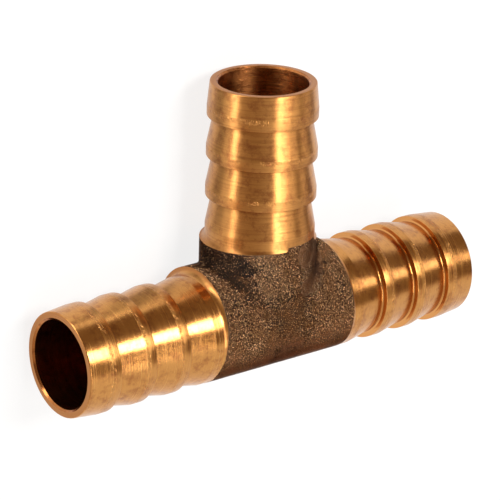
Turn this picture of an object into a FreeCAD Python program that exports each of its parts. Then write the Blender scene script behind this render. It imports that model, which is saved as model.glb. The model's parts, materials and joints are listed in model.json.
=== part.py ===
# Hose tee: one piece of brass, forged as a solid T, then turned and bored.
#
# The three hose ends are cut by the same form tool, so they are alike. The forging lies a
# little off the turned centre lines, so the shoulder behind each hose end is a crescent,
# wide on one side of the arm and almost gone on the other.
#
# Millimetres. X runs along the straight-through bore, Y points out of the branch, Z is up.
# The origin is where the two bore axes cross. The tee lies on its side, on the forged body.

import FreeCAD, Part
import math
import os
from FreeCAD import Vector

# Bores, and the wall left outside them
bore_radius = 6.5
neck_wall = 0.6              # thinnest wall, at the foot of each barb
barb_height = 0.9            # from the neck up to the land, on the radius
rim_wall = 1.15              # width of the flat ring at each mouth

# Lengths of a hose end, from its mouth inward
lead_taper_length = 3.6      # mouth to first land
land_width = 1.45            # the flat top of each barb, which grips the hose
barb_pitch = 6.0
barb_count = 3
base_taper_length = 4.45     # behind the last barb
band_length = 1.6            # plain band between the last taper and the corner
band_relief = 0.05           # the band is this much lower than the lands
corner_chamfer = 0.7         # left at the foot of the shoulder by the tool's bevelled nose
rim_edge_break = 0.1         # outer edge of the mouth
bore_edge_break = 0.12       # inner edge of the mouth

# Forging
forging_shift_y = 0.38       # how far the forging lies off the turned centre lines
forging_shift_z = -0.38
cleanup_stock = 0.013        # least metal turned off a land, where the forging lies lowest
branch_relief = 0.05         # the forged branch is this much slimmer than the forged run
run_stub = 2.7               # forged skin between the branch's flank and a run shoulder
branch_stub = 2.57           # forged skin between the top of the run and the branch shoulder
crotch_fillet_radius = 0.5

# Radii that follow
neck_radius = bore_radius + neck_wall
land_radius = neck_radius + barb_height
rim_radius = bore_radius + rim_wall
band_radius = land_radius - band_relief
run_forging_radius = land_radius + math.hypot(forging_shift_y, forging_shift_z) + cleanup_stock
branch_forging_radius = run_forging_radius - branch_relief

# Places that follow, along each arm from the crossing of the axes
barbed_length = lead_taper_length + (barb_count - 1) * barb_pitch + land_width
hose_end_length = barbed_length + base_taper_length + band_length + corner_chamfer
run_shoulder = branch_forging_radius + run_stub
branch_shoulder = forging_shift_y + run_forging_radius + branch_stub
run_mouth = run_shoulder + hose_end_length
branch_mouth = branch_shoulder + hose_end_length

crossing = Vector(0, 0, 0)
along_run = Vector(1, 0, 0)
along_branch = Vector(0, 1, 0)
upward = Vector(0, 0, 1)


def forged_tee():
    """Solid T before machining: two round bars at a right angle, with a filleted crotch."""
    run_end = Vector(-run_mouth, forging_shift_y, forging_shift_z)
    run = Part.makeCylinder(run_forging_radius, 2 * run_mouth, run_end, along_run)
    branch_foot = Vector(0, forging_shift_y, forging_shift_z)
    branch_length = branch_mouth - forging_shift_y
    branch = Part.makeCylinder(branch_forging_radius, branch_length, branch_foot, along_branch)
    tee = run.fuse(branch)
    return tee.makeFillet(crotch_fillet_radius, crotch_edges(tee))


def crotch_edges(tee):
    """Edges of the forged T where the branch grows out of the run."""
    tall = 2 * run_forging_radius
    zone = FreeCAD.BoundBox(
        -run_shoulder, -branch_shoulder, -tall,
        run_shoulder, branch_shoulder, tall)
    curved = [edge for edge in tee.Edges if not isinstance(edge.Curve, Part.Line)]
    return [edge for edge in curved if zone.isInside(edge.CenterOfMass)]


def hose_end_outline(shoulder):
    """Turned outline as (distance along the arm, radius), from the shoulder to the mouth."""
    mouth = shoulder + hose_end_length
    outline = [(shoulder, band_radius + corner_chamfer)]
    outline.append((shoulder + corner_chamfer, band_radius))
    outline.append((shoulder + corner_chamfer + band_length, band_radius))
    for barb in reversed(range(barb_count)):
        land_start = mouth - lead_taper_length - barb * barb_pitch
        land_end = land_start - land_width
        outline.append((land_end, neck_radius))
        outline.append((land_end, land_radius))
        outline.append((land_start, land_radius))
    outline.append((mouth - rim_edge_break, rim_radius))
    outline.append((mouth, rim_radius - rim_edge_break))
    return outline


def turned_away(shoulder):
    """Ring that the lathe takes off the outside of one arm, lying along the run."""
    mouth = shoulder + hose_end_length
    past_mouth = mouth + bore_radius
    past_forging = 2 * run_forging_radius
    outline = hose_end_outline(shoulder)
    outline.append((past_mouth, rim_radius - rim_edge_break))
    outline.append((past_mouth, past_forging))
    outline.append((shoulder, past_forging))
    corners = [Vector(along, 0, radius) for along, radius in outline]
    section = Part.Face(Part.makePolygon(corners + corners[:1]))
    return section.revolve(crossing, along_run, 360)


def bored_away(mouth):
    """Bore from the crossing of the axes to one mouth, with its broken edge, along the run."""
    bore = Part.makeCylinder(bore_radius, mouth, crossing, along_run)
    cone_start = Vector(mouth - bore_edge_break, 0, 0)
    cone_end_radius = bore_radius + bore_edge_break
    cone = Part.makeCone(bore_radius, cone_end_radius, bore_edge_break, cone_start, along_run)
    return bore.fuse(cone)


def turned_round(shape, degrees):
    """Copy of a shape that lies along the run, swung about the vertical to another arm."""
    swung = shape.copy()
    swung.rotate(crossing, upward, degrees)
    return swung


def hose_tee():
    """The finished tee: the forging with its three arms turned and bored."""
    run_ring = turned_away(run_shoulder)
    run_bore = bored_away(run_mouth)
    branch_ring = turned_away(branch_shoulder)
    branch_bore = bored_away(branch_mouth)
    tee = forged_tee()
    tee = tee.cut([run_ring, turned_round(run_ring, 180), turned_round(branch_ring, 90)])
    tee = tee.cut(run_bore.fuse(turned_round(run_bore, 180)).removeSplitter())
    tee = tee.cut(turned_round(branch_bore, 90))
    return tee.removeSplitter().Solids[0]


os.makedirs("parts", exist_ok=True)
hose_tee().exportStep("parts/hose_tee.step")
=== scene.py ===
import json
import math
import bpy
from mathutils import Matrix, Vector


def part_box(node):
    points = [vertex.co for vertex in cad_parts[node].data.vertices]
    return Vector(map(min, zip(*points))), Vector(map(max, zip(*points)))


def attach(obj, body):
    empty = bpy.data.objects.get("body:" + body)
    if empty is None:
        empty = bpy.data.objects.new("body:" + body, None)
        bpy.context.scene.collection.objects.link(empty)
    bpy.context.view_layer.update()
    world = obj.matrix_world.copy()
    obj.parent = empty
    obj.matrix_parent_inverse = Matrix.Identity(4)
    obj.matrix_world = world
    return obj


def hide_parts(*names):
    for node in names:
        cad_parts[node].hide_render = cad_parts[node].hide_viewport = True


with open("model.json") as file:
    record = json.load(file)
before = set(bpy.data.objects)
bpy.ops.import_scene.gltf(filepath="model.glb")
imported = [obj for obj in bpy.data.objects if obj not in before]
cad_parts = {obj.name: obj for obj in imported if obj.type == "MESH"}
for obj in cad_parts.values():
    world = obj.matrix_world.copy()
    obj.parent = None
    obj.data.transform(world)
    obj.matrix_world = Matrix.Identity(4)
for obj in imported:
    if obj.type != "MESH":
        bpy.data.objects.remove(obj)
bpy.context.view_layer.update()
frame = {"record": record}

# The forging. A slug of brass is pressed hot between two dies into a solid T, which comes out
# rough and brown. It lies a little off the centre lines that the lathe finds later, so the
# shoulders left behind the hose ends are crescents.

mm = 0.001
low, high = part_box("hose_tee")

run_mouth = high[0]                       # distance from the crossing of the axes to a mouth
branch_mouth = high[1]
hose_end_length = 23.8 * mm
run_shoulder = run_mouth - hose_end_length
branch_shoulder = branch_mouth - hose_end_length
branch_step = branch_shoulder - run_shoulder    # the branch's hose end lies this much further out

run_forging_radius = (high[2] - low[2]) / 2
branch_forging_radius = run_forging_radius - 0.05 * mm
forging_centre = Vector((0, low[1] + run_forging_radius, (high[2] + low[2]) / 2))
crotch_radius = 0.5 * mm
past_shoulder = 1.2 * mm                  # skin goes on this far, and the lathe cuts it off
stock_radius = 8.3 * mm                   # plain stock for the arms, all turned away outside
stock_start = 1.05 * mm                   # from the shoulder


def node(tree, kind, inputs=None, **settings):
    """Adds a node with its settings. Each input gets a value, or a link from another output."""
    made = tree.nodes.new(kind)
    for name, value in settings.items():
        setattr(made, name, value)
    for place, value in (inputs or {}).items():
        if isinstance(value, bpy.types.NodeSocket):
            tree.links.new(value, made.inputs[place])
        else:
            made.inputs[place].default_value = value
    return made


def empty_tree(owner):
    """Turns on the nodes of a material or a world, and gives its tree with nothing in it."""
    owner.use_nodes = True
    owner.node_tree.nodes.clear()
    return owner.node_tree


def linear(hex_colour):
    """A shader's linear colour from an sRGB hex colour."""
    parts = [int(hex_colour[place:place + 2], 16) / 255 for place in (1, 3, 5)]
    return [part / 12.92 if part < 0.04045 else ((part + 0.055) / 1.055) ** 2.4
            for part in parts] + [1.0]


def past_bar(tree, local, across, radius):
    """How far a point is past a round bar through the centre, and the way out from its axis."""
    way_out = node(tree, "ShaderNodeVectorMath", {0: local, 1: across}, operation="MULTIPLY")
    reach = node(tree, "ShaderNodeVectorMath", {0: way_out.outputs[0]}, operation="LENGTH")
    gap = node(tree, "ShaderNodeMath", {0: reach.outputs["Value"], 1: radius},
               operation="SUBTRACT").outputs[0]
    return gap, way_out.outputs[0]


first_colour, second_colour, mixed_colour = 6, 7, 2    # places of the Mix node's sockets

# Hot-forged brass: blasted, then left with its brown scale. The eye sees a dark, grainy, half
# shiny metal that sparkles where a grain happens to face a lamp. In the corners between branch
# and run and on the branch's flanks, the colour is painted nearly black: painted shade for the
# corners' shadow and for the dark room that the flanks reflect. The real grain is finer than
# 0.1 mm, too fine to show, so it is drawn at 0.14 mm.
skin_grain = 0.14 * mm                    # width of one blasted grain
skin_grain_depth = 0.28 * mm
blotch_width = 2.2 * mm
edge_wander = 1.2 * mm                    # how far the edge of a dark zone strays
forged_skin = bpy.data.materials.new("hot_forged_brass_scale")
tree = empty_tree(forged_skin)
place = node(tree, "ShaderNodeTexCoord").outputs["Object"]
local = node(tree, "ShaderNodeVectorMath", {0: place, 1: forging_centre},
             operation="SUBTRACT").outputs[0]
blotches = node(tree, "ShaderNodeTexNoise", {
    "Vector": place, "Scale": 1 / blotch_width, "Detail": 3.0, "Roughness": 0.6}).outputs["Fac"]
grains = node(tree, "ShaderNodeTexNoise", {
    "Vector": place, "Scale": 1 / skin_grain, "Detail": 3.0, "Roughness": 0.68}).outputs["Fac"]

# Zones of the scale. Each row says what is measured, where the zone starts and where it is
# full, in millimetres.
wander = node(tree, "ShaderNodeMapRange", {
    "Value": blotches, "From Min": 0.3, "From Max": 0.7, "To Min": -edge_wander,
    "To Max": edge_wander}).outputs["Result"]
past_run = past_bar(tree, local, (0, 1, 1), run_forging_radius)[0]
past_branch = past_bar(tree, local, (1, 0, 1), branch_forging_radius)[0]
from_corner = past_run
for more in (past_branch, wander):
    from_corner = node(tree, "ShaderNodeMath", {0: from_corner, 1: more},
                       operation="ADD").outputs[0]
spot = node(tree, "ShaderNodeSeparateXYZ", {"Vector": local}).outputs
up_branch = spot["Y"]
sideways = node(tree, "ShaderNodeMath", {0: spot["X"]}, operation="ABSOLUTE").outputs[0]
rightward = node(tree, "ShaderNodeMath", {0: spot["X"], 1: wander}, operation="ADD").outputs[0]
zones = {}
for zone, measure, start, full in (
        ("corner", from_corner, 2.0, 0.6), ("side", sideways, 4.0, 7.0),
        ("branch", up_branch, 3.0, 7.0), ("left flank", rightward, -5.6, -6.8),
        ("right flank", rightward, 1.2, 4.6)):
    zones[zone] = node(tree, "ShaderNodeMapRange", {
        "Value": measure, "From Min": start * mm, "From Max": full * mm},
        interpolation_type="SMOOTHSTEP").outputs["Result"]
on_branch_skin = node(tree, "ShaderNodeMapRange", {
    "Value": past_branch, "From Min": 1.2 * mm, "From Max": 0.3 * mm}).outputs["Result"]
on_branch_skin = node(tree, "ShaderNodeMath", {0: zones["branch"], 1: on_branch_skin},
                      operation="MULTIPLY").outputs[0]
left_flank, right_flank = [
    node(tree, "ShaderNodeMath", {0: zones[flank], 1: on_branch_skin},
         operation="MULTIPLY").outputs[0] for flank in ("left flank", "right flank")]
# Where shade is painted: the corners between branch and run, and the branch's left flank.
painted_shade_zone = zones["corner"]
for operation, other in (
        ("MULTIPLY", zones["side"]), ("MAXIMUM", left_flank), ("MULTIPLY", zones["branch"])):
    painted_shade_zone = node(tree, "ShaderNodeMath", {0: painted_shade_zone, 1: other},
                        operation=operation).outputs[0]

# Some grains are rubbed bright. There are fewer in the painted shade of the corners and the
# left flank, on the branch's right flank, low on the run and at the run's middle.
raised = node(tree, "ShaderNodeMath", {0: painted_shade_zone, 1: -0.07, 2: grains},
              operation="MULTIPLY_ADD").outputs[0]
rubbed = node(tree, "ShaderNodeMapRange", {
    "Value": raised, "From Min": 0.52, "From Max": 0.63}).outputs["Result"]
off_middle = node(tree, "ShaderNodeMapRange", {
    "Value": sideways, "From Min": 2 * mm, "From Max": 6 * mm}).outputs["Result"]
off_middle = node(tree, "ShaderNodeMath", {0: off_middle, 1: zones["branch"]},
                  operation="MAXIMUM").outputs[0]
for cause, start, end, share_before, share_after in (
        (blotches, 0.4, 0.6, 1.0, 0.6), (right_flank, 0.0, 1.0, 1.0, 0.2),
        (up_branch, -6 * mm, -2 * mm, 0.4, 1.0), (off_middle, 0.0, 1.0, 0.55, 1.2)):
    share = node(tree, "ShaderNodeMapRange", {
        "Value": cause, "From Min": start, "From Max": end, "To Min": share_before,
        "To Max": share_after}).outputs["Result"]
    rubbed = node(tree, "ShaderNodeMath", {0: rubbed, 1: share}, operation="MULTIPLY").outputs[0]

tint = node(tree, "ShaderNodeValToRGB", {"Fac": blotches})
stops = zip(tint.color_ramp.elements, ((0.36, "#3D2B20"), (0.66, "#745037")))
for stop, (position, colour) in stops:
    stop.position = position
    stop.color = linear(colour)
# Painted shade: those corners and the left flank, and the branch's right flank at 0.6 of the
# strength, are mixed towards a near-black colour.
painted_shade_share = node(tree, "ShaderNodeMath", {0: right_flank, 1: 0.6}, operation="MULTIPLY").outputs[0]
painted_shade_share = node(tree, "ShaderNodeMath", {0: painted_shade_zone, 1: painted_shade_share},
                  operation="MAXIMUM").outputs[0]
painted_shade_share = node(tree, "ShaderNodeMath", {0: painted_shade_share, 1: 0.75}, operation="MULTIPLY").outputs[0]
skin_colour = tint.outputs["Color"]
for share, colour in ((painted_shade_share, "#2C2422"), (rubbed, "#FFCE9C")):
    skin_colour = node(tree, "ShaderNodeMix", {
        "Factor": share, first_colour: skin_colour, second_colour: linear(colour)},
        data_type="RGBA").outputs[mixed_colour]
grain_share = node(tree, "ShaderNodeMapRange", {
    "Value": right_flank, "To Min": 1.0, "To Max": 0.35}).outputs["Result"]
skin_bump = node(tree, "ShaderNodeBump", {
    "Strength": grain_share, "Distance": skin_grain_depth, "Height": grains}).outputs["Normal"]
skin_gloss = node(tree, "ShaderNodeMapRange", {
    "Value": right_flank, "To Min": 0.24, "To Max": 0.6}).outputs["Result"]
skin_shader = node(tree, "ShaderNodeBsdfPrincipled", {
    "Base Color": skin_colour, "Metallic": 1.0, "Roughness": skin_gloss,
    "Specular Tint": linear("#8A6A58"), "Normal": skin_bump})
node(tree, "ShaderNodeOutputMaterial", {"Surface": skin_shader.outputs[0]})

turned_finish = 1                         # mark on the faces that the lathe leaves: skin has 0
along_run = (0, math.pi / 2, 0)           # how a cylinder is turned to lie along an axis
along_branch = (math.pi / 2, 0, 0)
first_number, second_number = 2, 3        # places of the Compare node's whole-number sockets


def new_tree(name, sizes):
    """Starts a Geometry Nodes tree with a named input for each size, of its value's own type."""
    tree = bpy.data.node_groups.new(name, "GeometryNodeTree")
    tree.is_modifier = True
    face = tree.interface
    face.new_socket("Geometry", in_out="INPUT", socket_type="NodeSocketGeometry")
    for label, value in sizes.items():
        kind = type(value).__name__.capitalize()
        face.new_socket(label, in_out="INPUT", socket_type="NodeSocket" + kind)
    face.new_socket("Geometry", in_out="OUTPUT", socket_type="NodeSocketGeometry")
    return tree, tree.nodes.new("NodeGroupInput").outputs


def worked(name, mesh, tree, sizes):
    """Runs a tree on a mesh with these sizes and keeps the result as a plain mesh."""
    piece = bpy.data.objects.new(name, mesh)
    bpy.context.scene.collection.objects.link(piece)
    step = piece.modifiers.new("step", "NODES")
    step.node_group = tree
    for socket in tree.interface.items_tree:
        if socket.in_out == "INPUT" and socket.name in sizes:
            step[socket.identifier] = sizes[socket.name]
    shaped = piece.evaluated_get(bpy.context.evaluated_depsgraph_get())
    plain = bpy.data.meshes.new_from_object(shaped)
    bpy.data.objects.remove(piece)
    return plain


def round_bar(tree, facets, radius, length, middle, turn):
    """A round bar with flat ends, turned to lie along an axis and moved to this middle."""
    bar = node(tree, "GeometryNodeMeshCylinder", {
        "Vertices": facets, "Radius": radius, "Depth": length})
    return node(tree, "GeometryNodeTransform", {
        "Geometry": bar.outputs["Mesh"], "Translation": middle, "Rotation": turn}).outputs[0]


def on_three_arms(tree, solid, step):
    """Repeats a solid of the right arm at quarter turns: right, branch, left.

    The branch's copy lies further out by the step.
    """
    arm_number = node(tree, "GeometryNodeInputIndex").outputs[0]
    arms = node(tree, "GeometryNodeMeshLine", {"Count": 3, "Offset": (0, 0, 0)})
    is_branch = node(tree, "FunctionNodeCompare", {first_number: arm_number, second_number: 1},
                     data_type="INT", operation="EQUAL").outputs[0]
    step_up = node(tree, "ShaderNodeCombineXYZ", {"Y": step}).outputs[0]
    arms = node(tree, "GeometryNodeSetPosition", {
        "Geometry": arms.outputs[0], "Selection": is_branch, "Offset": step_up})
    turn = node(tree, "ShaderNodeMath", {0: arm_number, 1: math.pi / 2}, operation="MULTIPLY")
    turn = node(tree, "ShaderNodeCombineXYZ", {"Z": turn.outputs[0]}).outputs[0]
    copies = node(tree, "GeometryNodeInstanceOnPoints", {
        "Points": arms.outputs[0], "Instance": solid, "Rotation": turn})
    return node(tree, "GeometryNodeRealizeInstances", {"Geometry": copies.outputs[0]}).outputs[0]


forging_sizes = {
    "Run Radius": run_forging_radius, "Branch Radius": branch_forging_radius,
    "Centre": forging_centre, "Run Length": 2 * (run_shoulder + past_shoulder),
    "Branch Length": branch_shoulder + past_shoulder - forging_centre.y,
    "Crotch Radius": crotch_radius,
    "Skin Facet": 0.17 * mm,                                # size of the facets of the relief
    "Lump Width": 1.3 * mm, "Lump Depth": 0.036 * mm,       # slow waves of the scale
    "Grain Width": 0.42 * mm, "Grain Depth": 0.048 * mm,    # the blasted grain
    "Relief Seed": 4.0,
    "Low Patch": Vector((2.3, 11.9, 7.9)) * mm, "Low Patch Edge": 3.7 * mm,
    "Low Patch Floor": 2.96 * mm, "Low Patch Height": -0.26 * mm,
    "Stock Radius": stock_radius, "Stock Start": run_shoulder + stock_start,
    "Stock Length": hose_end_length - stock_start, "Bar Facets": 128,
    "Branch Step": branch_step, "Skin": forged_skin}
tree, given = new_tree("forged_tee", forging_sizes)

# A rough blank: two round bars at a right angle, made into one even mesh of small facets.
branch_middle = node(tree, "ShaderNodeVectorMath", {
    0: (0, 0.5, 0), "Scale": given["Branch Length"]}, operation="SCALE").outputs[0]
branch_middle = node(tree, "ShaderNodeVectorMath", {0: given["Centre"], 1: branch_middle},
                     operation="ADD").outputs[0]
two_bars = node(tree, "GeometryNodeJoinGeometry")
for radius, length, middle, turn in (
        ("Run Radius", "Run Length", given["Centre"], along_run),
        ("Branch Radius", "Branch Length", branch_middle, along_branch)):
    bar = round_bar(tree, given["Bar Facets"], given[radius], given[length], middle, turn)
    tree.links.new(bar, two_bars.inputs[0])
filled_depth = node(tree, "ShaderNodeMath", {0: given["Skin Facet"], 1: 3.0}, operation="MULTIPLY")
filled = node(tree, "GeometryNodeMeshToVolume", {
    "Mesh": two_bars.outputs[0], "Voxel Size": given["Skin Facet"],
    "Interior Band Width": filled_depth.outputs[0]}, resolution_mode="VOXEL_SIZE")
blank = node(tree, "GeometryNodeVolumeToMesh", {"Volume": filled.outputs[0], "Threshold": 0.1})

# The T as a field: how far a point is from the two bars and the fillet between them. A ball of
# the crotch radius rolls in the corner. Its depth past each bar, and how the two bars' ways out
# lean on each other there, tell whether a point lies on the fillet.
point = node(tree, "GeometryNodeInputPosition").outputs[0]
local = node(tree, "ShaderNodeVectorMath", {0: point, 1: given["Centre"]},
             operation="SUBTRACT").outputs[0]
run_gap, run_out = past_bar(tree, local, (0, 1, 1), given["Run Radius"])
branch_gap, branch_out = past_bar(tree, local, (1, 0, 1), given["Branch Radius"])
above = node(tree, "ShaderNodeSeparateXYZ", {"Vector": local}).outputs["Y"]
below = node(tree, "ShaderNodeMath", {0: above, 1: -1.0}, operation="MULTIPLY").outputs[0]
branch_gap = node(tree, "ShaderNodeMath", {0: branch_gap, 1: below}, operation="MAXIMUM").outputs[0]
run_depth, branch_depth = [
    node(tree, "ShaderNodeMath", {0: given["Crotch Radius"], 1: gap},
         operation="SUBTRACT").outputs[0] for gap in (run_gap, branch_gap)]
run_out, branch_out = [
    node(tree, "ShaderNodeVectorMath", {0: way_out}, operation="NORMALIZE").outputs[0]
    for way_out in (run_out, branch_out)]
lean = node(tree, "ShaderNodeVectorMath", {0: run_out, 1: branch_out},
            operation="DOT_PRODUCT").outputs["Value"]
pulls = []
ball_squared = 0.0
outward = (0, 0, 0)
for depth, other_depth, way_out in (
        (run_depth, branch_depth, run_out), (branch_depth, run_depth, branch_out)):
    leaning = node(tree, "ShaderNodeMath", {0: lean, 1: other_depth}, operation="MULTIPLY")
    pull = node(tree, "ShaderNodeMath", {0: depth, 1: leaning.outputs[0]}, operation="SUBTRACT")
    pull = node(tree, "ShaderNodeMath", {0: pull.outputs[0], 1: 0.0},
                operation="MAXIMUM").outputs[0]
    ball_squared = node(tree, "ShaderNodeMath", {0: pull, 1: depth, 2: ball_squared},
                        operation="MULTIPLY_ADD").outputs[0]
    side = node(tree, "ShaderNodeVectorMath", {0: way_out, "Scale": pull}, operation="SCALE")
    outward = node(tree, "ShaderNodeVectorMath", {0: outward, 1: side.outputs[0]},
                   operation="ADD").outputs[0]
    pulls.append(pull)
outward = node(tree, "ShaderNodeVectorMath", {0: outward}, operation="NORMALIZE").outputs[0]
lean_squared = node(tree, "ShaderNodeMath", {0: lean, 1: lean}, operation="MULTIPLY").outputs[0]
upright = node(tree, "ShaderNodeMath", {0: 1.0, 1: lean_squared}, operation="SUBTRACT").outputs[0]
ball_squared = node(tree, "ShaderNodeMath", {0: ball_squared, 1: upright}, operation="DIVIDE")
ball_reach = node(tree, "ShaderNodeMath", {0: ball_squared.outputs[0]}, operation="SQRT").outputs[0]
plain_reach = node(tree, "ShaderNodeMath", {0: run_depth, 1: branch_depth},
                   operation="MAXIMUM").outputs[0]
lesser_pull = node(tree, "ShaderNodeMath", {0: pulls[0], 1: pulls[1]}, operation="MINIMUM")
on_fillet = node(tree, "ShaderNodeMath", {0: lesser_pull.outputs[0], 1: 0.0},
                 operation="GREATER_THAN").outputs[0]
reach = node(tree, "GeometryNodeSwitch", {
    "Switch": on_fillet, "False": plain_reach, "True": ball_reach}, input_type="FLOAT").outputs[0]
gap = node(tree, "ShaderNodeMath", {0: given["Crotch Radius"], 1: reach},
           operation="SUBTRACT").outputs[0]

# The blank's surface settles onto the field in three steps. Its cut ends, which are further off
# than 1.6 facets, stay.
gap_size = node(tree, "ShaderNodeMath", {0: gap}, operation="ABSOLUTE").outputs[0]
near = node(tree, "ShaderNodeMath", {0: given["Skin Facet"], 1: 1.6},
            operation="MULTIPLY").outputs[0]
on_skin = node(tree, "ShaderNodeMath", {0: gap_size, 1: near}, operation="LESS_THAN").outputs[0]
back = node(tree, "ShaderNodeMath", {0: gap, 1: -1.0}, operation="MULTIPLY").outputs[0]
settle = node(tree, "ShaderNodeVectorMath", {0: outward, "Scale": back}, operation="SCALE")
moves = [settle.outputs[0]] * 3

# The scale's relief: slow lumps and the blasted grain. The noise hardly passes 0.85, so that is
# taken as the die's own surface, and the relief lies below it.
for wave in ("Lump", "Grain"):
    fineness = node(tree, "ShaderNodeMath", {0: 1.0, 1: given[wave + " Width"]}, operation="DIVIDE")
    waves = node(tree, "ShaderNodeTexNoise", {
        "Vector": point, "W": given["Relief Seed"], "Scale": fineness.outputs[0], "Detail": 1.0},
        noise_dimensions="4D")
    sink = node(tree, "ShaderNodeMath", {0: waves.outputs["Fac"], 1: 0.85}, operation="SUBTRACT")
    sink = node(tree, "ShaderNodeMath", {0: sink.outputs[0], 1: given[wave + " Depth"]},
                operation="MULTIPLY")
    move = node(tree, "ShaderNodeVectorMath", {0: outward, "Scale": sink.outputs[0]},
                operation="SCALE")
    moves.append(move.outputs[0])

# A low patch of the forging beside the branch's shoulder, which the lathe doesn't reach.
patch_far = node(tree, "ShaderNodeVectorMath", {0: point, 1: given["Low Patch"]},
                 operation="DISTANCE").outputs["Value"]
in_patch = node(tree, "ShaderNodeMapRange", {
    "Value": patch_far, "From Min": given["Low Patch Edge"], "From Max": given["Low Patch Floor"],
    "To Min": 0.0, "To Max": given["Low Patch Height"]}, interpolation_type="SMOOTHSTEP")
move = node(tree, "ShaderNodeVectorMath", {0: outward, "Scale": in_patch.outputs["Result"]},
            operation="SCALE")
moves.append(move.outputs[0])
settled = blank.outputs[0]
for move in moves:
    settled = node(tree, "GeometryNodeSetPosition", {
        "Geometry": settled, "Selection": on_skin, "Offset": move}).outputs[0]

# Three bars of stock for the arms, joined to the skin.
half_stock = node(tree, "ShaderNodeMath", {
    0: given["Stock Length"], 1: 0.5, 2: given["Stock Start"]}, operation="MULTIPLY_ADD")
stock_middle = node(tree, "ShaderNodeCombineXYZ", {"X": half_stock.outputs[0]}).outputs[0]
stock = round_bar(tree, given["Bar Facets"], given["Stock Radius"], given["Stock Length"],
                  stock_middle, along_run)
stock = on_three_arms(tree, stock, given["Branch Step"])
stock = node(tree, "GeometryNodeStoreNamedAttribute", {
    "Geometry": stock, "Name": "finish", "Value": turned_finish}, data_type="INT", domain="FACE")
forging = node(tree, "GeometryNodeMeshBoolean", {"Mesh 2": settled},
               operation="UNION", solver="MANIFOLD")
tree.links.new(stock.outputs[0], forging.inputs["Mesh 2"])
forging = node(tree, "GeometryNodeSetMaterial", {
    "Geometry": forging.outputs[0], "Material": given["Skin"]})
node(tree, "NodeGroupOutput", {"Geometry": forging.outputs[0]})
tee = worked("forging", bpy.data.meshes.new("forging"), tree, forging_sizes)

# The hose ends. One form tool turns all three arms from the mouth to the shoulder: a lead taper,
# three barbs that a hose slides over one way only, a plain band and a bevelled corner. The ring
# that the tool takes away is swept round the axis and repeated on the three arms.

mounts = {mount["name"]: mount["dims"] for mount in frame["record"]["mounts"]}
bore_radius = mounts["run_bore"]["r_mm"] * mm
land_radius = mounts["hose_left"]["r_mm"] * mm
land_width = mounts["hose_left"]["length_mm"] * mm
neck_radius = land_radius - 0.9 * mm
rim_radius = bore_radius + 1.15 * mm
band_radius = land_radius - 0.05 * mm
lead_taper_length = 3.6 * mm
barb_pitch = 6.0 * mm
barb_count = 3
band_end = 2.3 * mm                       # plain band, measured from the shoulder
land_edge = 0.06 * mm                     # radii that the tool leaves at the corners
step_top = 0.1 * mm
step_foot = 0.28 * mm
rim_edge = 0.18 * mm
shoulder_cove = 1.0 * mm                  # lies within 0.1 mm of the 45 degree bevel in the solid
ring_wall = land_radius + 1.6 * mm        # the ring's outer wall clears the forging
round_facets = 192
corner_facets = 4

# Corners of the ring that is cut away, as (along the arm, radius, corner radius).
outline = [(run_shoulder, band_radius, shoulder_cove)]
outline.append((run_shoulder + band_end, band_radius, land_edge))
for barb in reversed(range(barb_count)):
    land_start = run_mouth - lead_taper_length - barb * barb_pitch
    outline.append((land_start - land_width, neck_radius, step_foot))
    outline.append((land_start - land_width, land_radius, step_top))
    outline.append((land_start, land_radius, land_edge))
past_mouth = run_mouth + bore_radius
inside_rim = rim_radius - 2 * rim_edge
outline.append((run_mouth, rim_radius, rim_edge))
outline.append((run_mouth, inside_rim, 0))
outline.append((past_mouth, inside_rim, 0))
outline.append((past_mouth, ring_wall, 0))
outline.append((run_shoulder, ring_wall, 0))
profile = bpy.data.meshes.new("tool_outline")
profile.from_pydata(
    [(radius - land_radius, along, 0) for along, radius, _ in outline],
    [(corner, (corner + 1) % len(outline)) for corner in range(len(outline))], [])
corner_radii = profile.attributes.new("corner_radius", "FLOAT", "POINT")
corner_radii.data.foreach_set("value", [corner for _, _, corner in outline])
tool = bpy.data.objects.new("tool_outline", profile)
bpy.context.scene.collection.objects.link(tool)

branch_side = 10 * mm                     # past this line a turned or bored face is the branch's
land_top = land_radius - 0.03 * mm        # above this, a face is the flat top of a barb
wall_middle = (bore_radius + neck_radius) / 2    # further out, a face is outside the bores
nick_width = 0.16 * mm
nick_depth = 0.05 * mm
nick_start = 0.25 * mm                    # nicks start this far in front of a land's front edge,
nick_band = 0.5 * mm                      # stay full for this length
nick_fade = 0.25 * mm                     # and fade out over this
nick_stretch = (0.25, 1, 1)               # they are four times as long along the arm as round it
nick_patch = 3.0 * mm                     # they come in patches
stain_width = 1.6 * mm
# The two sizes below set where the neck's darker colour starts and is full. That colour is partly
# dirt and partly painted shade.
grime_and_shade_start = 0.16 * mm                   # dirt starts this far above the neck
grime_and_shade_full = 0.06 * mm                    # and is full this far above it

first_vector, second_vector, mixed_vector = 4, 5, 1    # places of the Mix node's sockets


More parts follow.
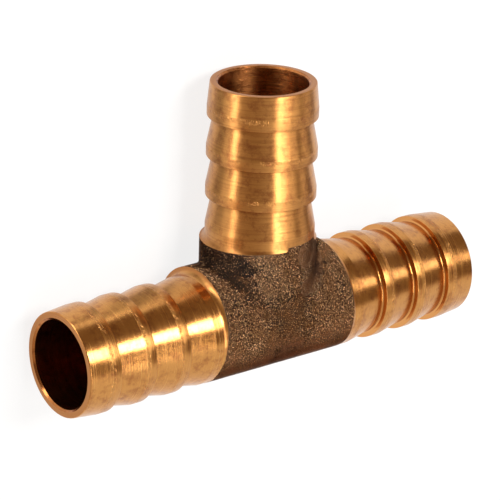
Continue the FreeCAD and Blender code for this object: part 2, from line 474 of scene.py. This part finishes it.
def marked_brass(name, colour, stain_colour, rim_colour, painted_step_reflection_colour, roughness, mark_pitch,
                 mark_depth, mark_length, run_share, along_spread):
    """Brass with the rings that a tool leaves: fine marks that run round each arm's axis.

    The marks on the two arms of the run have run_share of the branch's depth.
    """
    finish = bpy.data.materials.new(name)
    tree = empty_tree(finish)
    whole = node(tree, "ShaderNodeTexCoord").outputs
    on_branch = node(tree, "ShaderNodeSeparateXYZ", {"Vector": whole["Object"]}).outputs["Y"]
    on_branch = node(tree, "ShaderNodeMath", {0: on_branch, 1: branch_side},
                     operation="GREATER_THAN").outputs[0]
    along_first = []
    for vector in (whole["Object"], whole["Normal"]):
        parts = node(tree, "ShaderNodeSeparateXYZ", {"Vector": vector}).outputs
        swapped = node(tree, "ShaderNodeCombineXYZ", {
            "X": parts["Y"], "Y": parts["X"], "Z": parts["Z"]}).outputs[0]
        along_first.append(node(tree, "ShaderNodeMix", {
            "Factor": on_branch, first_vector: vector, second_vector: swapped},
            data_type="VECTOR").outputs[mixed_vector])
    across = node(tree, "ShaderNodeVectorMath", {0: along_first[0], 1: (0, 1, 1)},
                  operation="MULTIPLY").outputs[0]
    radius = node(tree, "ShaderNodeVectorMath", {0: across}, operation="LENGTH").outputs["Value"]
    along = node(tree, "ShaderNodeSeparateXYZ", {"Vector": along_first[0]}).outputs["X"]

    # Ring marks: noise that is fine along the arm and long round it.
    ring_place = node(tree, "ShaderNodeMath", {0: along, 1: radius}, operation="ADD").outputs[0]
    ring_place = node(tree, "ShaderNodeCombineXYZ", {"X": ring_place}).outputs[0]
    stretched = node(tree, "ShaderNodeVectorMath", {
        0: across, 1: (0, mark_pitch / mark_length, mark_pitch / mark_length)},
        operation="MULTIPLY").outputs[0]
    mark_place = node(tree, "ShaderNodeVectorMath", {0: stretched, 1: ring_place},
                      operation="ADD").outputs[0]
    marks = node(tree, "ShaderNodeTexNoise", {
        "Vector": mark_place, "Scale": 1 / mark_pitch, "Detail": 3.0,
        "Roughness": 0.65}).outputs["Fac"]
    scored = node(tree, "ShaderNodeMapRange", {
        "Value": marks, "From Min": 0.34, "From Max": 0.56, "To Min": 0.4,
        "To Max": 0.0}).outputs["Result"]
    score_share = node(tree, "ShaderNodeMapRange", {
        "Value": on_branch, "To Min": run_share, "To Max": 1.0}).outputs["Result"]
    scored = node(tree, "ShaderNodeMath", {0: scored, 1: score_share},
                  operation="MULTIPLY").outputs[0]

    # Short nicks across the front edge of each land, where other fittings have knocked it.
    nick_place = node(tree, "ShaderNodeVectorMath", {0: along_first[0], 1: nick_stretch},
                      operation="MULTIPLY").outputs[0]
    nicks = node(tree, "ShaderNodeTexNoise", {
        "Vector": nick_place, "Scale": 1 / nick_width, "Detail": 1.0}).outputs["Fac"]
    nicks = node(tree, "ShaderNodeMapRange", {
        "Value": nicks, "From Min": 0.5, "From Max": 0.6}).outputs["Result"]
    patches = node(tree, "ShaderNodeTexNoise", {
        "Vector": whole["Object"], "Scale": 1 / nick_patch, "Detail": 2.0}).outputs["Fac"]
    patches = node(tree, "ShaderNodeMapRange", {
        "Value": patches, "From Min": 0.4, "From Max": 0.5}).outputs["Result"]
    on_land = node(tree, "ShaderNodeMath", {0: radius, 1: land_top},
                   operation="GREATER_THAN").outputs[0]
    from_crossing = node(tree, "ShaderNodeMath", {0: along}, operation="ABSOLUTE").outputs[0]
    first_edge = node(tree, "ShaderNodeMath", {
        0: on_branch, 1: branch_step, 2: run_mouth - lead_taper_length + nick_start},
        operation="MULTIPLY_ADD").outputs[0]
    past_edge = node(tree, "ShaderNodeMath", {0: first_edge, 1: from_crossing},
                     operation="SUBTRACT").outputs[0]
    past_edge = node(tree, "ShaderNodeMath", {0: past_edge, 1: barb_pitch, 2: 0.0},
                     operation="WRAP").outputs[0]
    at_edge = node(tree, "ShaderNodeMapRange", {
        "Value": past_edge, "From Min": nick_band + nick_fade,
        "From Max": nick_band}).outputs["Result"]
    for share in (patches, at_edge, on_land):
        nicks = node(tree, "ShaderNodeMath", {0: nicks, 1: share}, operation="MULTIPLY").outputs[0]

    # The mouths, which face outward, are cut rougher and look redder. The steps behind the barbs
    # face inward and are smooth. They get a colour of their own, a painted reflection of the taper
    # in front of them. The neck at their foot is painted darker, partly dirt and partly painted
    # shade.
    facing = node(tree, "ShaderNodeSeparateXYZ", {"Vector": along_first[1]}).outputs["X"]
    which_way = node(tree, "ShaderNodeMath", {0: along}, operation="SIGN").outputs[0]
    outward = node(tree, "ShaderNodeMath", {0: facing, 1: which_way},
                   operation="MULTIPLY").outputs[0]
    on_rim = node(tree, "ShaderNodeMapRange", {
        "Value": outward, "From Min": 0.75, "From Max": 0.95}).outputs["Result"]
    # The steps' own colour is a painted reflection of the neighbouring taper.
    on_step = node(tree, "ShaderNodeMapRange", {
        "Value": outward, "From Min": -0.35, "From Max": -0.8}).outputs["Result"]
    # Dirt and painted shade: the neck just below each step is painted darker, partly for dirt and
    # partly for the shade in the corner.
    neck_grime_and_shade = node(tree, "ShaderNodeMapRange", {
        "Value": radius, "From Min": neck_radius + grime_and_shade_start,
        "From Max": neck_radius + grime_and_shade_full, "To Max": 0.25}).outputs["Result"]
    outside = node(tree, "ShaderNodeMath", {0: radius, 1: wall_middle},
                   operation="GREATER_THAN").outputs[0]
    off_rim = node(tree, "ShaderNodeMath", {0: 1.0, 1: on_rim}, operation="SUBTRACT").outputs[0]
    for share in (outside, off_rim):
        neck_grime_and_shade = node(tree, "ShaderNodeMath", {0: neck_grime_and_shade, 1: share}, operation="MULTIPLY").outputs[0]

    stains = node(tree, "ShaderNodeTexNoise", {
        "Vector": whole["Object"], "Scale": 1 / stain_width, "Detail": 6.0,
        "Roughness": 0.78}).outputs["Fac"]
    stained = node(tree, "ShaderNodeMapRange", {
        "Value": stains, "From Min": 0.48, "From Max": 0.64, "To Max": 0.7}).outputs["Result"]
    tint = linear(colour)
    for share, other_colour in (
            (stained, stain_colour), (scored, stain_colour), (on_rim, rim_colour),
            (on_step, painted_step_reflection_colour), (neck_grime_and_shade, "#6B3A1C")):
        tint = node(tree, "ShaderNodeMix", {
            "Factor": share, first_colour: tint, second_colour: linear(other_colour)},
            data_type="RGBA").outputs[mixed_colour]
    gloss = node(tree, "ShaderNodeMapRange", {
        "Value": marks, "From Min": 0.3, "From Max": 0.7,
        "To Min": roughness * 0.8, "To Max": roughness * 1.25}).outputs["Result"]
    for share, dulling in ((on_rim, 0.08), (on_step, -0.13), (on_land, 0.06), (on_branch, 0.09)):
        gloss = node(tree, "ShaderNodeMath", {0: share, 1: dulling, 2: gloss},
                     operation="MULTIPLY_ADD").outputs[0]
    ring_depth = node(tree, "ShaderNodeMapRange", {
        "Value": on_branch, "To Min": run_share * mark_depth, "To Max": mark_depth})
    bump = node(tree, "ShaderNodeBump", {
        "Distance": ring_depth.outputs["Result"], "Height": marks})
    bump = node(tree, "ShaderNodeBump", {
        "Distance": nick_depth, "Height": nicks, "Normal": bump.outputs["Normal"]}, invert=True)

    # The finest rings are too fine to draw. They spread a reflection along the arm only.
    on_face = node(tree, "ShaderNodeMath", {0: on_rim, 1: on_step}, operation="MAXIMUM").outputs[0]
    spread = node(tree, "ShaderNodeMapRange", {
        "Value": on_branch, "To Min": 0.5 * along_spread, "To Max": along_spread})
    spread = node(tree, "ShaderNodeMapRange", {
        "Value": on_face, "To Min": spread.outputs["Result"], "To Max": 0.0}).outputs["Result"]
    on_run = node(tree, "ShaderNodeMath", {0: 1.0, 1: on_branch}, operation="SUBTRACT").outputs[0]
    arm_direction = node(tree, "ShaderNodeCombineXYZ", {"X": on_run, "Y": on_branch}).outputs[0]
    shader = node(tree, "ShaderNodeBsdfPrincipled", {
        "Base Color": tint, "Metallic": 1.0, "Roughness": gloss, "Anisotropic": spread,
        "Tangent": arm_direction, "Normal": bump.outputs["Normal"]})
    node(tree, "ShaderNodeOutputMaterial", {"Surface": shader.outputs[0]})
    return finish


def cut_away(tree, solid, cutter, finish):
    """Takes a cutter away from a solid. The faces that it leaves get the mark of its finish."""
    cutter = node(tree, "GeometryNodeStoreNamedAttribute", {
        "Geometry": cutter, "Name": "finish", "Value": finish}, data_type="INT", domain="FACE")
    return node(tree, "GeometryNodeMeshBoolean", {
        "Mesh 1": solid, "Mesh 2": cutter.outputs[0]}, operation="DIFFERENCE",
        solver="MANIFOLD").outputs[0]


def finish_tree(tree, solid, finish, material):
    """Gives the faces with this mark their material, and ends the tree."""
    mark = node(tree, "GeometryNodeInputNamedAttribute", {"Name": "finish"}, data_type="INT")
    is_marked = node(tree, "FunctionNodeCompare", {
        first_number: mark.outputs[0], second_number: finish},
        data_type="INT", operation="EQUAL").outputs[0]
    dressed = node(tree, "GeometryNodeSetMaterial", {
        "Geometry": solid, "Selection": is_marked, "Material": material})
    node(tree, "NodeGroupOutput", {"Geometry": dressed.outputs[0]})


# Brass turned with a form tool: bright, warm, with rings finer than a hair. They spread each
# lamp's reflection along the arm and keep it narrow round the arm. The real rings are about
# 0.05 mm apart, too fine to show, so they are drawn 0.22 mm apart.
turned_brass = marked_brass(
    "form_turned_brass", colour="#CD9150", stain_colour="#9C5E36", rim_colour="#B0743F",
    painted_step_reflection_colour="#D69759", roughness=0.23, mark_pitch=0.22 * mm, mark_depth=0.042 * mm,
    mark_length=12 * mm, run_share=0.28, along_spread=0.9)

turning_sizes = {
    "Tool Outline": tool, "Sweep Radius": land_radius, "Sweep Facets": round_facets,
    "Corner Facets": corner_facets, "Branch Step": branch_step, "Turned": turned_brass}
tree, given = new_tree("turned_hose_ends", turning_sizes)
section = node(tree, "GeometryNodeObjectInfo", {"Object": given["Tool Outline"]})
section = node(tree, "GeometryNodeMeshToCurve", {"Mesh": section.outputs["Geometry"]})
radii = node(tree, "GeometryNodeInputNamedAttribute", {"Name": "corner_radius"})
section = node(tree, "GeometryNodeFilletCurve", {
    "Curve": section.outputs[0], "Count": given["Corner Facets"], "Radius": radii.outputs[0]},
    mode="POLY")
path = node(tree, "GeometryNodeCurvePrimitiveCircle", {
    "Resolution": given["Sweep Facets"], "Radius": given["Sweep Radius"]})
ring = node(tree, "GeometryNodeCurveToMesh", {
    "Curve": path.outputs[0], "Profile Curve": section.outputs[0]})
ring = node(tree, "GeometryNodeFlipFaces", {"Mesh": ring.outputs[0]})
ring = node(tree, "GeometryNodeTransform", {
    "Geometry": ring.outputs[0], "Rotation": (0, -math.pi / 2, 0)})
rings = on_three_arms(tree, ring.outputs[0], given["Branch Step"])
turned = cut_away(tree, given["Geometry"], rings, turned_finish)
finish_tree(tree, turned, turned_finish, given["Turned"])
tee = worked("turned", tee, tree, turning_sizes)
bpy.data.objects.remove(tool)

# The bores. One drill goes straight through the run and one down the branch to meet it. Each
# mouth then has its sharp inner edge broken. The drill leaves coarser rings than the tool does.

bored_finish = 2                          # mark on the faces that the drill leaves
edge_break = 0.28 * mm
drill_past = 1 * mm                       # the cutters go on this far past each mouth

# Brass as drilled: the marks are coarse, and the wall sees little but itself, so it is dark,
# with a rough streak where it shows a lamp. Its colour is also painted darker and redder than
# the outside, as painted shade. The real marks are about 0.1 mm apart, too fine to show, so
# they are drawn 0.2 mm apart.
bored_brass = marked_brass(
    "drilled_brass", colour="#C27C44", stain_colour="#74401F", rim_colour="#C08A52",
    painted_step_reflection_colour="#B06C38", roughness=0.2, mark_pitch=0.2 * mm, mark_depth=0.06 * mm,
    mark_length=6 * mm, run_share=0.6, along_spread=0.8)

boring_sizes = {
    "Bore Radius": bore_radius, "Run Mouth": run_mouth, "Branch Mouth": branch_mouth,
    "Branch Step": branch_step, "Edge Break": edge_break, "Past Mouth": drill_past,
    "Facets": round_facets, "Bored": bored_brass}
tree, given = new_tree("bored_tee", boring_sizes)
run_drill = node(tree, "ShaderNodeMath", {0: given["Run Mouth"], 1: given["Past Mouth"]},
                 operation="ADD").outputs[0]
run_drill = node(tree, "ShaderNodeMath", {0: run_drill, 1: 2.0}, operation="MULTIPLY").outputs[0]
run_bore = round_bar(tree, given["Facets"], given["Bore Radius"], run_drill, (0, 0, 0), along_run)
branch_drill = node(tree, "ShaderNodeMath", {0: given["Branch Mouth"], 1: given["Past Mouth"]},
                    operation="ADD").outputs[0]
half_drill = node(tree, "ShaderNodeMath", {0: branch_drill, 1: 0.5}, operation="MULTIPLY")
half_drill = node(tree, "ShaderNodeCombineXYZ", {"Y": half_drill.outputs[0]}).outputs[0]
branch_bore = round_bar(tree, given["Facets"], given["Bore Radius"], branch_drill, half_drill,
                        along_branch)
flare = node(tree, "ShaderNodeMath", {0: given["Edge Break"], 1: given["Past Mouth"]},
             operation="ADD").outputs[0]
flare_radius = node(tree, "ShaderNodeMath", {0: given["Bore Radius"], 1: flare}, operation="ADD")
cone = node(tree, "GeometryNodeMeshCone", {
    "Vertices": given["Facets"], "Radius Top": flare_radius.outputs[0],
    "Radius Bottom": given["Bore Radius"], "Depth": flare})
cone_start = node(tree, "ShaderNodeMath", {0: given["Run Mouth"], 1: given["Edge Break"]},
                  operation="SUBTRACT")
cone_start = node(tree, "ShaderNodeCombineXYZ", {"X": cone_start.outputs[0]})
cone = node(tree, "GeometryNodeTransform", {
    "Geometry": cone.outputs["Mesh"], "Translation": cone_start.outputs[0],
    "Rotation": along_run})
cones = on_three_arms(tree, cone.outputs[0], given["Branch Step"])
bored = given["Geometry"]
for cutter in (run_bore, branch_bore, cones):
    bored = cut_away(tree, bored, cutter, bored_finish)
finish_tree(tree, bored, bored_finish, given["Bored"])
tee = worked("bored", tee, tree, boring_sizes)

# The finished tee: one solid piece of brass, as forged, turned and bored. Its flat faces shade
# flat and its round ones smooth, and edges sharper than crisp_edge stay crisp.

crisp_edge = math.radians(28)
tee.shade_smooth()
tee.set_sharp_from_angle(angle=crisp_edge)
piece = bpy.data.objects.new("hose_tee_brass", tee)
bpy.context.scene.collection.objects.link(piece)
shading = piece.modifiers.new("shading", "WEIGHTED_NORMAL")
shading.keep_sharp = True
shaded = piece.evaluated_get(bpy.context.evaluated_depsgraph_get())
tee = bpy.data.meshes.new_from_object(shaded)
piece.modifiers.clear()
piece.data = tee
tee.name = "hose_tee_brass"
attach(piece, "root")
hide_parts("hose_tee")

# The table: a sheet of matt white card that the tee lies on. It shows white to the eye and in
# the metal, and keeps the tee's shadow. A grey strip of painted shadow beside the branch, which
# shows only in the metal, gives the branch its dark left edge.

card_size = 6.0                           # metres, so that the card fills every view
card_level = 0.82                         # how bright the card shows, where 1 is white
painted_shadow_middle = -16 * mm
painted_shadow_half_width = 3 * mm
painted_shadow_edge = 7 * mm                       # from the strip's middle to where it has faded out
painted_shadow_level = 0.28
painted_shadow_start = 10 * mm                     # along the branch, where the strip begins to show
painted_shadow_full = 16 * mm                      # and where it is full
bpy.ops.mesh.primitive_plane_add(size=card_size, location=(0, 0, low[2]))
card = bpy.context.object
card.name = "white_card"

# Matt white card: an even white with no shine and a soft shadow. Its fibres are too fine to
# show, so faint clouds 2 mm wide stand for them.
cloud_width = 2 * mm
white_card = bpy.data.materials.new("matt_white_card")
tree = empty_tree(white_card)
place = node(tree, "ShaderNodeTexCoord").outputs["Object"]
clouds = node(tree, "ShaderNodeTexNoise", {
    "Vector": place, "Scale": 1 / cloud_width, "Detail": 2.0}).outputs["Fac"]
paper = node(tree, "ShaderNodeMix", {
    "Factor": clouds, first_colour: linear("#727271"), second_colour: linear("#767675")},
    data_type="RGBA").outputs[mixed_colour]
# Painted shadow: in the metal's reflections the card is darker in a strip beside the branch, from a
# little way up it. The eye still sees the card white there.
spot = node(tree, "ShaderNodeSeparateXYZ", {"Vector": place}).outputs
off_painted_shadow = node(tree, "ShaderNodeMath", {0: spot["X"], 1: painted_shadow_middle}, operation="SUBTRACT")
off_painted_shadow = node(tree, "ShaderNodeMath", {0: off_painted_shadow.outputs[0]}, operation="ABSOLUTE")
off_painted_shadow = node(tree, "ShaderNodeMapRange", {
    "Value": off_painted_shadow.outputs[0], "From Min": painted_shadow_half_width, "From Max": painted_shadow_edge,
    "To Min": painted_shadow_level}, interpolation_type="SMOOTHSTEP").outputs["Result"]
before_painted_shadow = node(tree, "ShaderNodeMapRange", {
    "Value": spot["Y"], "From Min": painted_shadow_full, "From Max": painted_shadow_start},
    interpolation_type="SMOOTHSTEP").outputs["Result"]
ray = node(tree, "ShaderNodeLightPath").outputs
level = ray["Is Camera Ray"]
for operation, other in (
        ("MAXIMUM", ray["Is Glossy Ray"]), ("MAXIMUM", ray["Is Transmission Ray"]),
        ("MULTIPLY", card_level)):
    level = node(tree, "ShaderNodeMath", {0: level, 1: other}, operation=operation).outputs[0]
whiteness = off_painted_shadow
for kept_white in (before_painted_shadow, ray["Is Camera Ray"]):
    whiteness = node(tree, "ShaderNodeMath", {0: whiteness, 1: kept_white},
                     operation="MAXIMUM").outputs[0]
level = node(tree, "ShaderNodeMath", {0: level, 1: whiteness}, operation="MULTIPLY").outputs[0]
shader = node(tree, "ShaderNodeBsdfPrincipled", {
    "Base Color": paper, "Roughness": 0.9, "Specular IOR Level": 0.2,
    "Emission Color": (1, 1, 1, 1), "Emission Strength": level})
node(tree, "ShaderNodeOutputMaterial", {"Surface": shader.outputs[0]})
card.data.materials.append(white_card)

# The light: three soft boxes overhead, a small one on the right, a low strip lamp that stands
# on the card on the left, and a room that is pale in front of the tee and dim behind it.
# Places and sizes here are in metres.


def soft_box(name, place, side, width, height, radiance):
    """A rectangular lamp of even brightness that faces the tee, its width along side."""
    lamp = bpy.data.lights.new(name, "AREA")
    lamp.shape = "RECTANGLE"
    lamp.size = width
    lamp.size_y = height
    lamp.energy = radiance * 4 * width * height    # watts that make its face this bright
    holder = bpy.data.objects.new(name, lamp)
    bpy.context.scene.collection.objects.link(holder)
    away = Vector(place).normalized()
    along = (Vector(side) - Vector(side).dot(away) * away).normalized()
    faces = Matrix((along, away.cross(along), away)).transposed().to_4x4()
    holder.matrix_world = Matrix.Translation(Vector(place)) @ faces
    holder.visible_camera = False


soft_box("soft_box_over_branch", (-0.03, -0.08, 0.60), (1, 0, 0),
         width=0.11, height=0.34, radiance=5.4)
soft_box("soft_box_over_run", (0.065, 0.26, 0.51), (1, 0, 0),
         width=0.22, height=0.18, radiance=14.0)
soft_box("soft_box_beside_run", (0.30, 0.24, 0.52), (1, 0, 0),
         width=0.24, height=0.24, radiance=2.9)
soft_box("soft_box_on_the_right", (0.52, 0.12, 0.27), (0, 1, 0),
         width=0.11, height=0.20, radiance=2.4)
soft_box("strip_on_the_left", (-0.050, 0.040, -0.0046), (0, 1, 0),
         width=0.090, height=0.008, radiance=4.5)

room = bpy.data.worlds.new("studio_room")
bpy.context.scene.world = room
tree = empty_tree(room)
heading = node(tree, "ShaderNodeTexCoord").outputs["Generated"]
parts = node(tree, "ShaderNodeSeparateXYZ", {"Vector": heading}).outputs
turn_away = node(tree, "ShaderNodeMapRange", {
    "Value": parts["X"], "From Min": -0.4, "From Max": 0.7, "To Min": -0.14, "To Max": 0.16},
    interpolation_type="SMOOTHSTEP").outputs["Result"]
frontward = node(tree, "ShaderNodeMath", {0: parts["Y"], 1: turn_away}, operation="ADD").outputs[0]
front = node(tree, "ShaderNodeMapRange", {
    "Value": frontward, "From Min": -0.06, "From Max": -0.22},
    interpolation_type="SMOOTHSTEP").outputs["Result"]
side = node(tree, "ShaderNodeMapRange", {
    "Value": parts["X"], "From Min": -0.8, "From Max": -0.2, "To Min": 0.45},
    interpolation_type="SMOOTHSTEP").outputs["Result"]
pale = node(tree, "ShaderNodeMath", {0: front, 1: side}, operation="MULTIPLY").outputs[0]
level = node(tree, "ShaderNodeMapRange", {"Value": pale, "To Min": 0.24}).outputs["Result"]
shade = node(tree, "ShaderNodeMix", {
    "Factor": pale, first_colour: linear("#FFDDB8"), second_colour: linear("#FFFFFF")},
    data_type="RGBA").outputs[mixed_colour]
glow = node(tree, "ShaderNodeBackground", {"Color": shade, "Strength": level})
node(tree, "ShaderNodeOutputWorld", {"Surface": glow.outputs[0]})

# The camera: a long lens that looks down on the tee at 47 degrees, turned about its own line
# of sight so that the branch points up in the picture.

camera_place = Vector((-274.26, 181.07, 342.94)) * mm
camera_right = Vector((0.78861, 0.02498, 0.61438))
camera_up = Vector((0.20539, 0.93108, -0.30150))
camera_back = camera_right.cross(camera_up)
lens = bpy.data.cameras.new("camera")
lens.lens = 235.0
lens.sensor_width = 36.0
lens.clip_start = 0.01
lens.clip_end = 20
camera = bpy.data.objects.new("camera", lens)
bpy.context.scene.collection.objects.link(camera)
facing = Matrix((camera_right, camera_up, camera_back)).transposed().to_4x4()
camera.matrix_world = Matrix.Translation(camera_place) @ facing
bpy.context.scene.camera = camera
bpy.context.scene.view_settings.view_transform = "Standard"
